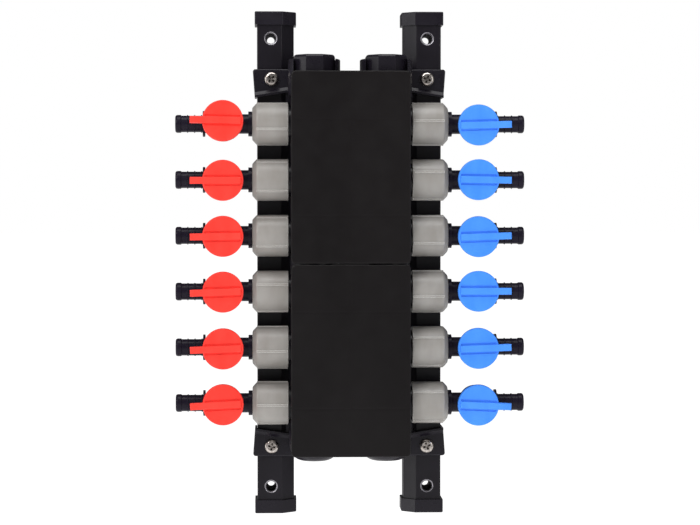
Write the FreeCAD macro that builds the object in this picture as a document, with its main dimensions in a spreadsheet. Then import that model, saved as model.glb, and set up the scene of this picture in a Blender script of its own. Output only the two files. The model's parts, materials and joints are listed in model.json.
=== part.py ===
"""Wall-mounted shut-off manifold: two vertical trunks, one hot and one cold, with six valved ports each.

Millimetres. X to the right, Z up, and the wall is the plane Y = 0, with the object in front of it
at negative Y. The origin is in the wall plane, at the middle of the four wall-screw holes.
Hot parts lie at negative X and cold parts at positive X; ports are numbered from the top down.
"""
import FreeCAD, Part
import Sketcher
import os
import re

Vector = FreeCAD.Vector
Rotation = FreeCAD.Rotation
Placement = FreeCAD.Placement

DOC = FreeCAD.newDocument("manifold")

SIDES = {"hot": -1, "cold": 1}
PORTS_PER_MODULE = 3
MODULES = ("upper", "lower")
PLUG_SIDES = 8

DIMENSIONS = {
    # Trunk modules: a tube with a spigot below, a socket above and three threaded ports to one side
    "port_pitch": 38.1,
    "trunk_offset": 24.5,
    "trunk_radius": 16.5,
    "trunk_wall": 5.0,
    "socket_wall": 2.15,
    "spigot_length": 8.0,
    "spigot_clearance": 0.15,
    "socket_end_gap": 0.3,
    "oring_groove_depth": 1.3,
    "oring_groove_width": 2.2,
    "oring_clearance": 0.02,
    "port_thread_radius": 11.6,
    "port_bore_radius": 6.0,
    # Top collars with their plugs, and bottom end caps
    "collar_step": 1.3,
    "collar_wall": 2.3,
    "collar_length": 25.0,
    "collar_window_floor": 5.5,
    "collar_window_inset": 0.9,
    "collar_lip_round": 1.2,
    "plug_clearance": 0.3,
    "plug_seat_depth": 20.0,
    "plug_rise": 3.0,
    "plug_round": 2.4,
    "cap_step": 0.5,
    "cap_length": 20.5,
    "cap_round": 10.0,
    "cap_wall": 3.0,
    # Union nuts and gaskets
    "nut_gap": 1.1,
    "nut_rail_gap": 1.8,
    "nut_wall": 2.45,
    "nut_length": 24.6,
    "nut_shoulder_length": 3.0,
    "nut_shoulder_drop": 3.3,
    "nut_shoulder_round": 1.6,
    "nut_end_wall": 3.2,
    "nut_ridge_width": 1.3,
    "nut_ridge_height": 0.6,
    "nut_ridge_overlap": 0.8,
    "nut_mouth_bevel": 0.5,
    "thread_clearance": 0.15,
    "gasket_thickness": 1.5,
    "gasket_bore_radius": 5.2,
    "union_play": 0.1,
    # Valve bodies
    "tail_flange_thickness": 2.5,
    "tail_flange_inset": 1.2,
    "neck_wall": 2.35,
    "neck_clearance": 0.35,
    "neck_collar_step": 1.85,
    "neck_collar_thickness": 2.6,
    "valve_offset": 19.8,
    "waterway_radius": 4.3,
    "barrel_wall": 1.55,
    "barrel_floor": 2.2,
    "outlet_wall": 2.0,
    "stop_flange_gap": 1.3,
    "stop_flange_step": 3.2,
    "stop_flange_thickness": 1.5,
    "barb_length": 18.7,
    "barb_wall": 1.3,
    "barb_rib_height": 0.5,
    "barb_tip_drop": 1.0,
    "barb_rib_width": 0.9,
    "barb_rib_pitch": 4.8,
    "barb_first_rib": 8.3,
    "barb_bulb_length": 4.2,
    "barb_bulb_ramp": 0.6,
    "barb_nose_length": 1.3,
    # Valve plugs and bonnets
    "rotor_bore_inset": 0.2,
    "rotor_wall": 3.75,
    "rotor_clearance": 0.05,
    "rotor_wall_below": 3.7,
    "rotor_wall_above": 5.1,
    "rotor_end_play": 0.1,
    "stem_radius": 4.0,
    "stem_clearance": 0.05,
    "stem_flat_depth": 1.25,
    "stem_end_inset": 1.5,
    "bonnet_step": 1.4,
    "bonnet_sleeve_length": 3.2,
    "bonnet_thickness": 2.5,
    "bonnet_inset": 0.45,
    "stem_oring_radius": 0.9,
    "stem_oring_clearance": 0.04,
    # Handles and their stops
    "handle_radius": 13.85,
    "handle_height": 5.5,
    "handle_gap": 0.3,
    "handle_wall": 1.6,
    "handle_hub_wall": 1.6,
    "handle_hub_gap": 0.4,
    "handle_edge_round": 0.9,
    "bar_width": 4.6,
    "bar_rise": 1.5,
    "bar_setback": 1.7,
    "bar_groove_width": 1.5,
    "bar_groove_depth": 0.6,
    "bar_round": 0.5,
    "pointer_swing_gap": 2.15,
    "pointer_thickness": 4.0,
    "stop_hub_gap": 1.9,
    "stop_rim_gap": 2.25,
    "stop_height": 2.3,
    "stop_lug_width": 3.0,
    "stop_lug_inset": 0.4,
    "stop_play_angle": 1.0,
    "open_stop_angle": 3.0,
    "closed_stop_angle": 90.0,
    # Rails, end caps, brackets and screws
    "rail_tuck": 2.9,
    "rail_width": 25.4,
    "rail_depth": 25.4,
    "rail_wall": 2.0,
    "rail_bevel_width": 8.5,
    "rail_bevel_depth": 7.5,
    "rail_edge_round": 0.9,
    "rail_overrun": 36.9,
    "rail_cap_overhang": 1.6,
    "rail_cap_height": 9.1,
    "rail_cap_top": 3.0,
    "rail_cap_clearance": 0.1,
    "rail_cap_round": 0.9,
    "wall_hole_shift": 3.2,
    "wall_hole_inset": 15.6,
    "wall_hole_radius": 2.6,
    "driver_hole_radius": 3.5,
    "wall_hole_bevel": 0.9,
    "bracket_screw_shift": 2.8,
    "bracket_screw_inset": 12.6,
    "bracket_setback": 0.3,
    "bracket_length": 19.5,
    "bracket_slant": 3.4,
    "bracket_draft": 1.4,
    "bracket_plate": 3.0,
    "bracket_overhang": 3.0,
    "bracket_clearance": 0.15,
    "bracket_wrap_depth": 21.0,
    "bracket_rib_width": 3.6,
    "bracket_rib_rise": 2.4,
    "bracket_rib_slope": 2.2,
    "bracket_round": 0.9,
    "bracket_corner_round": 1.8,
    "bracket_saddle_thickness": 2.8,
    "bracket_saddle_sweep": 100.0,
    "bracket_saddle_lean": 5.0,
    "bracket_saddle_length": 8.0,
    "bracket_saddle_setback": 0.8,
    "bracket_tongue_gap": 0.1,
    "bracket_tongue_width": 2.6,
    "bracket_tongue_length": 3.2,
    "screw_radius": 2.3,
    "screw_clearance": 0.2,
    "screw_length": 12.0,
    "screw_head_radius": 4.85,
    "screw_head_height": 3.0,
    "screw_head_round": 1.9,
    "recess_span": 5.2,
    "recess_width": 1.3,
    "recess_depth": 1.9,
    # Covers
    "cover_side_inset": 0.6,
    "cover_overhang": 16.3,
    "cover_joint_gap": 0.7,
    "cover_front_gap": 1.2,
    "cover_skirt_gap": 1.1,
    "cover_wall": 2.0,
    "cover_corner_round": 3.0,
    "cover_edge_round": 0.9,
    "cover_trunk_clearance": 0.4,
    "cover_tab_offset": 30.0,
    "cover_tab_width": 3.0,
    "cover_tab_height": 0.55,
    "cover_tongue_gap": 0.2,
    "cover_tongue_width": 12.0,
    "catch_length": 10.0,
    "catch_bead_reach": 1.2,
    "catch_bead_depth": 1.4,
    "catch_gap": 0.3,
    "catch_lug_depth": 1.9,
    "catch_lug_inset": 0.4,
}

# Sizes that follow from the driving dimensions, each written as a sum of their names.
DERIVED = {
    # Trunks
    "module_half": f"{PORTS_PER_MODULE} * port_pitch / 2",
    "trunk_end": f"{PORTS_PER_MODULE} * port_pitch",
    "trunk_bore_radius": "trunk_radius - trunk_wall",
    "socket_radius": "trunk_radius - socket_wall",
    "socket_depth": "spigot_length + socket_end_gap",
    "spigot_radius": "socket_radius - spigot_clearance",
    "groove_radius": "spigot_radius - oring_groove_depth",
    "collar_radius": "trunk_radius + collar_step",
    "plug_corner_radius": "collar_radius - collar_wall - plug_clearance",
    "collar_window_half": "plug_corner_radius - collar_window_inset",
    "cap_radius": "trunk_radius + cap_step",
    "port_standoff": "rail_depth + nut_rail_gap + nut_radius + nut_ridge_height",
    # Unions
    "nut_radius": "nut_bore_radius + nut_wall",
    "nut_start": "trunk_offset + trunk_radius + nut_gap",
    "nut_end": "nut_start + nut_length",
    "nut_bore_radius": "port_thread_radius + thread_clearance",
    "nut_hole_radius": "neck_radius + neck_clearance",
    "tail_flange_radius": "port_thread_radius - tail_flange_inset",
    "tail_flange_outer": "nut_end - nut_end_wall - union_play",
    "tail_flange_inner": "tail_flange_outer - tail_flange_thickness",
    "port_end": "tail_flange_inner - gasket_thickness",
    # Valves
    "valve_reach": "nut_end + valve_offset",
    "neck_radius": "waterway_radius + neck_wall",
    "neck_collar_radius": "neck_radius + neck_collar_step",
    "neck_collar_inner": "valve_offset - union_play",
    "outlet_radius": "waterway_radius + outlet_wall",
    "stop_flange_offset": "barrel_radius + stop_flange_gap",
    "stop_flange_radius": "barb_root_radius + stop_flange_step",
    "barb_root_radius": "waterway_radius + barb_wall",
    "barb_rib_radius": "barb_root_radius + barb_rib_height",
    "barb_tip_radius": "barb_rib_radius - barb_tip_drop",
    "barb_start": "stop_flange_offset + stop_flange_thickness",
    "barb_end": "barb_start + barb_length",
    "rotor_bore_radius": "waterway_radius - rotor_bore_inset",
    "rotor_radius": "rotor_bore_radius + rotor_wall",
    "rotor_below": "rotor_bore_radius + rotor_wall_below",
    "rotor_above": "rotor_bore_radius + rotor_wall_above",
    "cavity_radius": "rotor_radius + rotor_clearance",
    "cavity_floor": "rotor_below + rotor_end_play",
    "barrel_radius": "bonnet_sleeve_radius + thread_clearance + barrel_wall",
    "barrel_mouth": "bonnet_sleeve_end + bonnet_sleeve_length",
    "bonnet_sleeve_radius": "cavity_radius + bonnet_step",
    "bonnet_sleeve_end": "rotor_above + rotor_end_play",
    "bonnet_face": "barrel_mouth + bonnet_thickness",
    "bonnet_radius": "handle_radius - bonnet_inset",
    "stem_bore_radius": "stem_radius + stem_clearance",
    "stem_square": "2 * (stem_radius - stem_flat_depth)",
    "stem_end": "handle_face - stem_end_inset",
    # Handles
    "handle_rim": "bonnet_face + handle_gap",
    "handle_face": "bonnet_face + handle_height",
    "handle_hub_radius": "stem_radius + handle_hub_wall",
    "bar_top": "handle_face + bar_rise",
    "pointer_reach": "port_pitch - handle_radius - pointer_swing_gap",
    "stop_inner_radius": "handle_hub_radius + stop_hub_gap",
    "stop_outer_radius": "handle_radius - handle_wall - stop_rim_gap",
    # Rails and brackets
    "rail_inner_x": "trunk_offset + trunk_radius - rail_tuck",
    "rail_outer_x": "rail_inner_x + rail_width",
    "rail_offset": "rail_inner_x + rail_width / 2",
    "rail_half_length": "bracket_far_end + rail_overrun",
    "wall_hole_offset": "rail_offset + wall_hole_shift",
    "wall_hole_height": "rail_half_length - wall_hole_inset",
    "bracket_near_end": "trunk_end - bracket_setback",
    "bracket_far_end": "bracket_near_end + bracket_length",
    "bracket_screw_offset": "rail_offset + bracket_screw_shift",
    "bracket_screw_height": "bracket_near_end + bracket_screw_inset",
    "bracket_back": "rail_depth + bracket_clearance",
    "bracket_front": "bracket_back + bracket_plate",
    "bracket_outer_x": "rail_outer_x + bracket_overhang",
    "saddle_inner": "collar_radius + bracket_clearance",
    # Covers
    "cover_half_width": "trunk_offset + trunk_radius - cover_side_inset",
    "cover_length": "trunk_end + cover_overhang - cover_joint_gap / 2",
    "cover_face": "port_standoff + collar_radius + cover_front_gap + cover_wall",
    "cover_skirt_x": "cover_half_width - cover_wall",
    "catch_bead_x": "cover_skirt_x - catch_bead_reach",
    "catch_chord": "catch_bead_x - catch_gap - trunk_offset",
    "cover_back": "port_standoff + sqrt(trunk_radius ^ 2 - (catch_chord) ^ 2) + cover_skirt_gap",
    "cover_depth": "cover_face - cover_back",
    "catch_lug_back": "cover_back + catch_bead_depth + catch_gap",
}

# How each valve was left in its union: the tilt of its front about the port, upwards, and the
# angle that its handle stands past in-line, towards closed. Degrees, from the top port down.
VALVE_TILT = {"hot": (5.0, -1.5, -0.5, 1.0, 0.0, 1.0), "cold": (-3.5, 0.0, -1.5, 2.0, 0.0, -1.5)}
HANDLE_TURN = {"hot": (1.5, 0.0, -1.0, -2.0, -2.0, -3.0), "cold": (-1.5, 1.0, -2.0, 0.0, -2.0, 2.5)}
# The turn of each bracket screw's cross recess, in degrees, by side (-1 hot, 1 cold) and level.
SCREW_TURN = {(-1, 1): 45.0, (1, 1): 20.0, (-1, -1): 12.0, (1, -1): 70.0}
# How far round each union nut came to rest: the angle of one ridge below the front, in degrees.
NUT_TURN = {"hot": (-15.0, -32.0, -29.0, 21.0, -8.0, -2.0), "cold": (8.0, 22.0, -20.0, -12.0, 30.0, 34.0)}


# --- The sheet of dimensions, and expressions written in its names

def make_sheet():
    sheet = DOC.addObject("Spreadsheet::Sheet", "Dims")
    for row, (name, value) in enumerate(DIMENSIONS.items(), start=1):
        sheet.set(f"A{row}", name)
        sheet.set(f"B{row}", str(value))
        sheet.setAlias(f"B{row}", name)
    DOC.recompute()
    return sheet


def bound(text):
    """Turn a sum of dimension names into an expression on the sheet."""
    def expand(match):
        name = match.group(0)
        if name in DIMENSIONS:
            return f"Dims.{name}"
        if name in DERIVED:
            return f"({bound(DERIVED[name])})"
        return name
    return re.sub(r"[a-z][a-z_]*", expand, text)


def size(text):
    """The present value of a sum of dimension names."""
    return float(SHEET.evalExpression(bound(text)))


def port_height(port):
    """Height of a port's axis, counted from the top port, which is 0."""
    middle = (len(MODULES) * PORTS_PER_MODULE - 1) / 2
    return f"{middle - port} * port_pitch"


# --- Sketches and features

def make_body(label, placement=None):
    body = DOC.addObject("PartDesign::Body", label)
    body.Label = label
    if placement:
        body.Placement = placement
    return body


def make_sketch(body, role, offset="0"):
    """A sketch on one of the body's own planes, moved along the plane's normal by offset."""
    sketch = body.newObject("Sketcher::SketchObject", f"{body.Name}_sketch")
    origin_plane = next(item for item in body.Origin.OriginFeatures if item.Role == role)
    sketch.AttachmentSupport = (origin_plane, [""])
    sketch.MapMode = "FlatFace"
    sketch.setExpression("AttachmentOffset.Base.z", bound(offset))
    return sketch


def add_outline(sketch, points):
    """A closed run of straight lines whose corners are bound to the sheet."""
    first = sketch.GeometryCount
    corners = [Vector(size(x), size(y), 0) for x, y in points]
    count = len(corners)
    for i in range(count):
        sketch.addGeometry(Part.LineSegment(corners[i], corners[(i + 1) % count]), False)
    for i in range(count):
        here = first + i
        following = first + (i + 1) % count
        sketch.addConstraint(Sketcher.Constraint("Coincident", here, 2, following, 1))
        for kind, text in zip(("DistanceX", "DistanceY"), points[i]):
            bind = sketch.addConstraint(Sketcher.Constraint(kind, -1, 1, here, 1, size(text)))
            sketch.setExpression(f"Constraints[{bind}]", bound(text))


def add_rectangle(sketch, left, right, low, high):
    add_outline(sketch, [(left, low), (right, low), (right, high), (left, high)])


def add_circle(sketch, x, y, radius):
    index = sketch.addGeometry(Part.Circle(Vector(size(x), size(y), 0), Vector(0, 0, 1), size(radius)), False)
    for kind, text in (("DistanceX", x), ("DistanceY", y)):
        bind = sketch.addConstraint(Sketcher.Constraint(kind, -1, 1, index, 3, size(text)))
        sketch.setExpression(f"Constraints[{bind}]", bound(text))
    bind = sketch.addConstraint(Sketcher.Constraint("Radius", index, size(radius)))
    sketch.setExpression(f"Constraints[{bind}]", bound(radius))


def revolve(body, sketch, axis, cut=False, sweep=None):
    """Turn a sketch about its H_Axis or V_Axis; a partial sweep is centred on the sketch."""
    kind = "Groove" if cut else "Revolution"
    feature = body.newObject(f"PartDesign::{kind}", f"{body.Name}_{kind.lower()}")
    feature.Profile = sketch
    feature.ReferenceAxis = (sketch, [axis])
    feature.Angle = 360.0
    if sweep:
        feature.Midplane = True
        feature.setExpression("Angle", bound(sweep))
    return feature


def extrude(body, sketch, length, cut=False, reverse=False, middle=False):
    """Pad or pocket a sketch: a pad goes along its plane's normal and a pocket against it."""
    kind = "Pocket" if cut else "Pad"
    feature = body.newObject(f"PartDesign::{kind}", f"{body.Name}_{kind.lower()}")
    feature.Profile = sketch
    feature.setExpression("Length", bound(length))
    feature.Reversed = reverse
    feature.Midplane = middle
    return feature


def repeat(body, feature, sketch, axis, length, count):
    pattern = body.newObject("PartDesign::LinearPattern", f"{body.Name}_row")
    pattern.Originals = [feature]
    pattern.Direction = (sketch, [axis])
    pattern.setExpression("Length", bound(length))
    pattern.Occurrences = count
    body.Tip = pattern
    return pattern


def repeat_round(body, feature, sketch, axis, count):
    pattern = body.newObject("PartDesign::PolarPattern", f"{body.Name}_ring")
    pattern.Originals = [feature]
    pattern.Axis = (sketch, [axis])
    pattern.Angle = 360.0
    pattern.Occurrences = count
    body.Tip = pattern
    return pattern


def soften(body, length, chosen, kind="Fillet"):
    """Round or bevel those edges of the body's tip for which chosen(edge) is true."""
    DOC.recompute()
    base = body.Tip
    names = [f"Edge{i}" for i, edge in enumerate(base.Shape.Edges, start=1) if chosen(edge)]
    feature = body.newObject(f"PartDesign::{kind}", f"{body.Name}_{kind.lower()}")
    feature.Base = (base, names)
    feature.setExpression("Size" if kind == "Chamfer" else "Radius", bound(length))
    return feature


def near(value, text, slack=1e-4):
    return abs(value - size(text)) < slack


def flat_at(edge, axis, text):
    """True for an edge that lies wholly at one place along an axis, such as YMin, YMax."""
    box = edge.BoundBox
    return near(getattr(box, f"{axis}Min"), text) and near(getattr(box, f"{axis}Max"), text)


def along(edge, axis):
    """True for a straight edge parallel to an axis."""
    box = edge.BoundBox
    spans = {name: getattr(box, f"{name}Length") for name in "XYZ"}
    length = spans.pop(axis)
    return length > 1e-4 and max(spans.values()) < 1e-4


def group(label, members):
    compound = DOC.addObject("Part::Compound", label)
    compound.Label = label
    compound.Links = members
    return compound


# --- Trunk modules, collars, plugs and end caps

def spigot_profile(top):
    """Half section, from the axis outwards, of a spigot that ends at a shoulder at height top."""
    middle = f"{top} - spigot_length / 2"
    return [
        ("0", f"{top} - spigot_length"),
        ("spigot_radius", f"{top} - spigot_length"),
        ("spigot_radius", f"{middle} - oring_groove_width / 2"),
        ("groove_radius", f"{middle} - oring_groove_width / 2"),
        ("groove_radius", f"{middle} + oring_groove_width / 2"),
        ("spigot_radius", f"{middle} + oring_groove_width / 2"),
        ("spigot_radius", top),
    ]


def trunk_module(label, side, centre_height):
    place = Vector(side * size("trunk_offset"), -size("port_standoff"), size(centre_height))
    body = make_body(label, Placement(place, Rotation()))
    outside = make_sketch(body, "XZ_Plane")
    shoulder = [("trunk_radius", "-module_half"), ("trunk_radius", "module_half"), ("0", "module_half")]
    add_outline(outside, spigot_profile("-module_half") + shoulder)
    revolve(body, outside, "V_Axis")

    stub = make_sketch(body, "YZ_Plane")
    add_circle(stub, "0", "-port_pitch", "port_thread_radius")
    port = extrude(body, stub, "port_end - trunk_offset", reverse=side < 0)
    repeat(body, port, stub, "V_Axis", f"{PORTS_PER_MODULE - 1} * port_pitch", PORTS_PER_MODULE)

    lug = make_sketch(body, "XY_Plane", "-port_pitch / 2")
    edges = [f"{side} * trunk_radius / 3", f"{side} * (cover_skirt_x - catch_lug_inset - trunk_offset)"]
    back = "port_standoff - catch_lug_back"
    add_rectangle(lug, *edges, f"{back} - catch_lug_depth", back)
    catch = extrude(body, lug, "catch_length", middle=True)
    repeat(body, catch, lug, "N_Axis", "port_pitch", 2)

    inside = make_sketch(body, "XZ_Plane")
    add_outline(inside, [
        ("0", "-module_half - spigot_length"),
        ("trunk_bore_radius", "-module_half - spigot_length"),
        ("trunk_bore_radius", "module_half - socket_depth"),
        ("socket_radius", "module_half - socket_depth"),
        ("socket_radius", "module_half"),
        ("0", "module_half"),
    ])
    revolve(body, inside, "V_Axis", cut=True)

    waterway = make_sketch(body, "YZ_Plane")
    add_circle(waterway, "0", "-port_pitch", "port_bore_radius")
    bore = extrude(body, waterway, "port_end - trunk_offset", cut=True, reverse=side > 0)
    repeat(body, bore, waterway, "V_Axis", f"{PORTS_PER_MODULE - 1} * port_pitch", PORTS_PER_MODULE)
    return body


def trunk_end_place(side, height):
    return Placement(Vector(side * size("trunk_offset"), -size("port_standoff"), size(height)), Rotation())


def inlet_collar(name):
    """A sleeve on the trunk's top end, open at the front so that the plug in it can be seen."""
    body = make_body(f"{name}_inlet_collar", trunk_end_place(SIDES[name], "trunk_end"))
    outside = make_sketch(body, "XZ_Plane")
    wall = [("collar_radius", "0"), ("collar_radius", "collar_length"), ("0", "collar_length")]
    add_outline(outside, spigot_profile("0") + wall)
    revolve(body, outside, "V_Axis")
    soften(body, "collar_lip_round", lambda edge: flat_at(edge, "Z", "collar_length"))

    inside = make_sketch(body, "XZ_Plane")
    seat = "plug_corner_radius + plug_clearance"
    add_outline(inside, [
        ("0", "-spigot_length"),
        ("trunk_bore_radius", "-spigot_length"),
        ("trunk_bore_radius", "collar_length - plug_seat_depth"),
        (seat, "collar_length - plug_seat_depth"),
        (seat, "collar_length"),
        ("0", "collar_length"),
    ])
    revolve(body, inside, "V_Axis", cut=True)

    window = make_sketch(body, "XZ_Plane")
    half = "collar_window_half"
    add_rectangle(window, f"-{half}", half, "collar_window_floor", "collar_length + 1")
    extrude(body, window, "collar_radius + 1", cut=True, reverse=True)
    return body


def inlet_plug(name):
    """An eight-sided plug with a rounded top, standing in the collar."""
    body = make_body(f"{name}_inlet_plug", trunk_end_place(SIDES[name], "trunk_end + collar_length"))
    face = make_sketch(body, "XY_Plane", "plug_clearance - plug_seat_depth")
    angles = [360 * (corner + 0.5) / PLUG_SIDES for corner in range(PLUG_SIDES)]
    reach = "plug_corner_radius"
    add_outline(face, [(f"{reach} * cos({angle}deg)", f"{reach} * sin({angle}deg)") for angle in angles])
    extrude(body, face, "plug_seat_depth - plug_clearance + plug_rise")
    soften(body, "plug_round", lambda edge: flat_at(edge, "Z", "plug_rise"))
    return body


def end_cap(name):
    """A round-ended cap over the trunk's bottom spigot."""
    body = make_body(f"{name}_end_cap", trunk_end_place(SIDES[name], "-trunk_end"))
    outside = make_sketch(body, "XZ_Plane")
    add_rectangle(outside, "0", "cap_radius", "-cap_length", "0")
    revolve(body, outside, "V_Axis")
    soften(body, "cap_round", lambda edge: flat_at(edge, "Z", "-cap_length"))
    inside = make_sketch(body, "XZ_Plane")
    add_outline(inside, [
        ("0", "cap_wall - cap_length"),
        ("cap_radius - cap_round", "cap_wall - cap_length"),
        ("trunk_bore_radius", "cap_wall - cap_length + cap_round / 2"),
        ("trunk_bore_radius", "-socket_depth"),
        ("socket_radius", "-socket_depth"),
        ("socket_radius", "0"),
        ("0", "0"),
    ])
    revolve(body, inside, "V_Axis", cut=True)
    return body


def trunk_oring(label, side, shoulder_height):
    """The O-ring in the groove of a spigot whose shoulder is at the given height."""
    ring = DOC.addObject("Part::Torus", label)
    thickness = "(socket_radius - groove_radius) / 2 - oring_clearance"
    ring.setExpression("Radius1", bound("(socket_radius + groove_radius) / 2"))
    ring.setExpression("Radius2", bound(thickness))
    ring.Placement = trunk_end_place(side, f"{shoulder_height} - spigot_length / 2")
    return ring


# --- Ports: every piece below is drawn with X along the port, outwards, and -Y to the front

def port_place(name, port, reach, tilt=0.0, turn=0.0):
    """Where a piece of one port goes: reach is along X from the middle of the object."""
    side = SIDES[name]
    base = Vector(side * size(reach), -size("port_standoff"), size(port_height(port)))
    outward = Rotation(Vector(0, 1, 0), 180 if side < 0 else 0)
    tilted = Rotation(Vector(1, 0, 0), -side * tilt)
    turned = Rotation(Vector(0, 1, 0), turn)
    return Placement(base, outward * tilted * turned)


def union_nut(name, port):
    turn = NUT_TURN[name][port]
    body = make_body(f"{name}_union_nut_{port + 1}", port_place(name, port, "nut_start", turn))
    section = make_sketch(body, "XZ_Plane")
    shoulder = "nut_length - nut_shoulder_length"
    add_outline(section, [
        ("0", "nut_bore_radius + nut_mouth_bevel"),
        ("0", "nut_radius - nut_mouth_bevel"),
        ("nut_mouth_bevel", "nut_radius"),
        (shoulder, "nut_radius"),
        ("nut_length", "nut_radius - nut_shoulder_drop"),
        ("nut_length", "nut_hole_radius"),
        ("nut_length - nut_end_wall", "nut_hole_radius"),
        ("nut_length - nut_end_wall", "nut_bore_radius"),
        ("nut_mouth_bevel", "nut_bore_radius"),
    ])
    revolve(body, section, "H_Axis")
    soften(body, "nut_shoulder_round", lambda edge: flat_at(edge, "X", shoulder) or (
        flat_at(edge, "X", "nut_length") and edge.BoundBox.YLength > 2 * size("nut_hole_radius") + 1))

    end = make_sketch(body, "YZ_Plane", "nut_mouth_bevel")
    half = "nut_ridge_width / 2"
    add_rectangle(end, f"-{half}", half, "nut_radius - nut_ridge_overlap", "nut_radius + nut_ridge_height")
    ridge = extrude(body, end, "nut_length - nut_shoulder_length - nut_mouth_bevel")
    repeat_round(body, ridge, end, "N_Axis", 4)
    return body


def union_gasket(name, port):
    body = make_body(f"{name}_gasket_{port + 1}", port_place(name, port, "port_end"))
    section = make_sketch(body, "XZ_Plane")
    add_rectangle(section, "0", "gasket_thickness", "gasket_bore_radius", "tail_flange_radius")
    revolve(body, section, "H_Axis")
    return body


def rib_profile(back_from_tip):
    """Four corners of one sealing rib of the pipe tail, steep towards the valve."""
    far = f"barb_end - ({back_from_tip})"
    return [
        (f"{far} - barb_rib_width / 2", "barb_root_radius"),
        (f"{far} - barb_rib_width / 4", "barb_rib_radius"),
        (f"{far} + barb_rib_width / 4", "barb_rib_radius"),
        (f"{far} + barb_rib_width / 2", "barb_root_radius"),
    ]


def valve_body(name, port):
    """Union tail, neck, upright barrel, pipe-stop flange and ribbed pipe tail in one moulding."""
    tilt = VALVE_TILT[name][port]
    body = make_body(f"{name}_valve_body_{port + 1}", port_place(name, port, "valve_reach", tilt))
    section = make_sketch(body, "XZ_Plane")
    ribs = [point for step in (2, 1, 0) for point in rib_profile(f"barb_first_rib + {step} * barb_rib_pitch")]
    add_outline(section, [
        ("tail_flange_inner - valve_reach", "0"),
        ("tail_flange_inner - valve_reach", "tail_flange_radius"),
        ("tail_flange_outer - valve_reach", "tail_flange_radius"),
        ("tail_flange_outer - valve_reach", "neck_radius"),
        ("-neck_collar_inner", "neck_radius"),
        ("-neck_collar_inner", "neck_collar_radius"),
        ("neck_collar_thickness - neck_collar_inner", "neck_collar_radius"),
        ("neck_collar_thickness - neck_collar_inner", "neck_radius"),
        ("0", "neck_radius"),
        ("0", "outlet_radius"),
        ("stop_flange_offset", "outlet_radius"),
        ("stop_flange_offset", "stop_flange_radius"),
        ("barb_start", "stop_flange_radius"),
        ("barb_start", "barb_root_radius"),
        *ribs,
        ("barb_end - barb_bulb_length", "barb_root_radius"),
        ("barb_end - barb_bulb_length + barb_bulb_ramp", "barb_rib_radius"),
        ("barb_end - barb_nose_length", "barb_rib_radius"),
        ("barb_end - barb_nose_length / 3", "barb_rib_radius - barb_tip_drop / 3"),
        ("barb_end", "barb_tip_radius"),
        ("barb_end", "0"),
    ])
    revolve(body, section, "H_Axis")

    barrel = make_sketch(body, "XY_Plane")
    add_rectangle(barrel, "0", "barrel_radius", "-barrel_mouth", "cavity_floor + barrel_floor")
    revolve(body, barrel, "V_Axis")
    soften(body, "barrel_floor / 2", lambda edge: flat_at(edge, "Y", "cavity_floor + barrel_floor"))

    cavity = make_sketch(body, "XY_Plane")
    add_outline(cavity, [
        ("0", "cavity_floor"),
        ("cavity_radius", "cavity_floor"),
        ("cavity_radius", "-bonnet_sleeve_end"),
        ("bonnet_sleeve_radius + thread_clearance", "-bonnet_sleeve_end"),
        ("bonnet_sleeve_radius + thread_clearance", "-barrel_mouth"),
        ("0", "-barrel_mouth"),
    ])
    revolve(body, cavity, "V_Axis", cut=True)

    waterway = make_sketch(body, "YZ_Plane", "tail_flange_inner - valve_reach")
    add_circle(waterway, "0", "0", "waterway_radius")
    extrude(body, waterway, "valve_reach - tail_flange_inner + barb_end", cut=True, reverse=True)
    return body


def valve_rotor(name, port):
    """The cross-bored plug that opens and closes the valve, with its stem."""
    tilt, turn = VALVE_TILT[name][port], HANDLE_TURN[name][port]
    body = make_body(f"{name}_valve_plug_{port + 1}", port_place(name, port, "valve_reach", tilt, turn))
    section = make_sketch(body, "XY_Plane")
    add_outline(section, [
        ("0", "rotor_below"),
        ("rotor_radius", "rotor_below"),
        ("rotor_radius", "-rotor_above"),
        ("stem_radius", "-rotor_above"),
        ("stem_radius", "-handle_rim"),
        ("0", "-handle_rim"),
    ])
    revolve(body, section, "V_Axis")
    square = make_sketch(body, "XZ_Plane", "handle_rim")
    half = "stem_square / 2"
    add_rectangle(square, f"-{half}", half, f"-{half}", half)
    extrude(body, square, "stem_end - handle_rim")
    bore = make_sketch(body, "YZ_Plane")
    add_circle(bore, "0", "0", "rotor_bore_radius")
    extrude(body, bore, "3 * rotor_radius", cut=True, middle=True)
    return body


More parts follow.
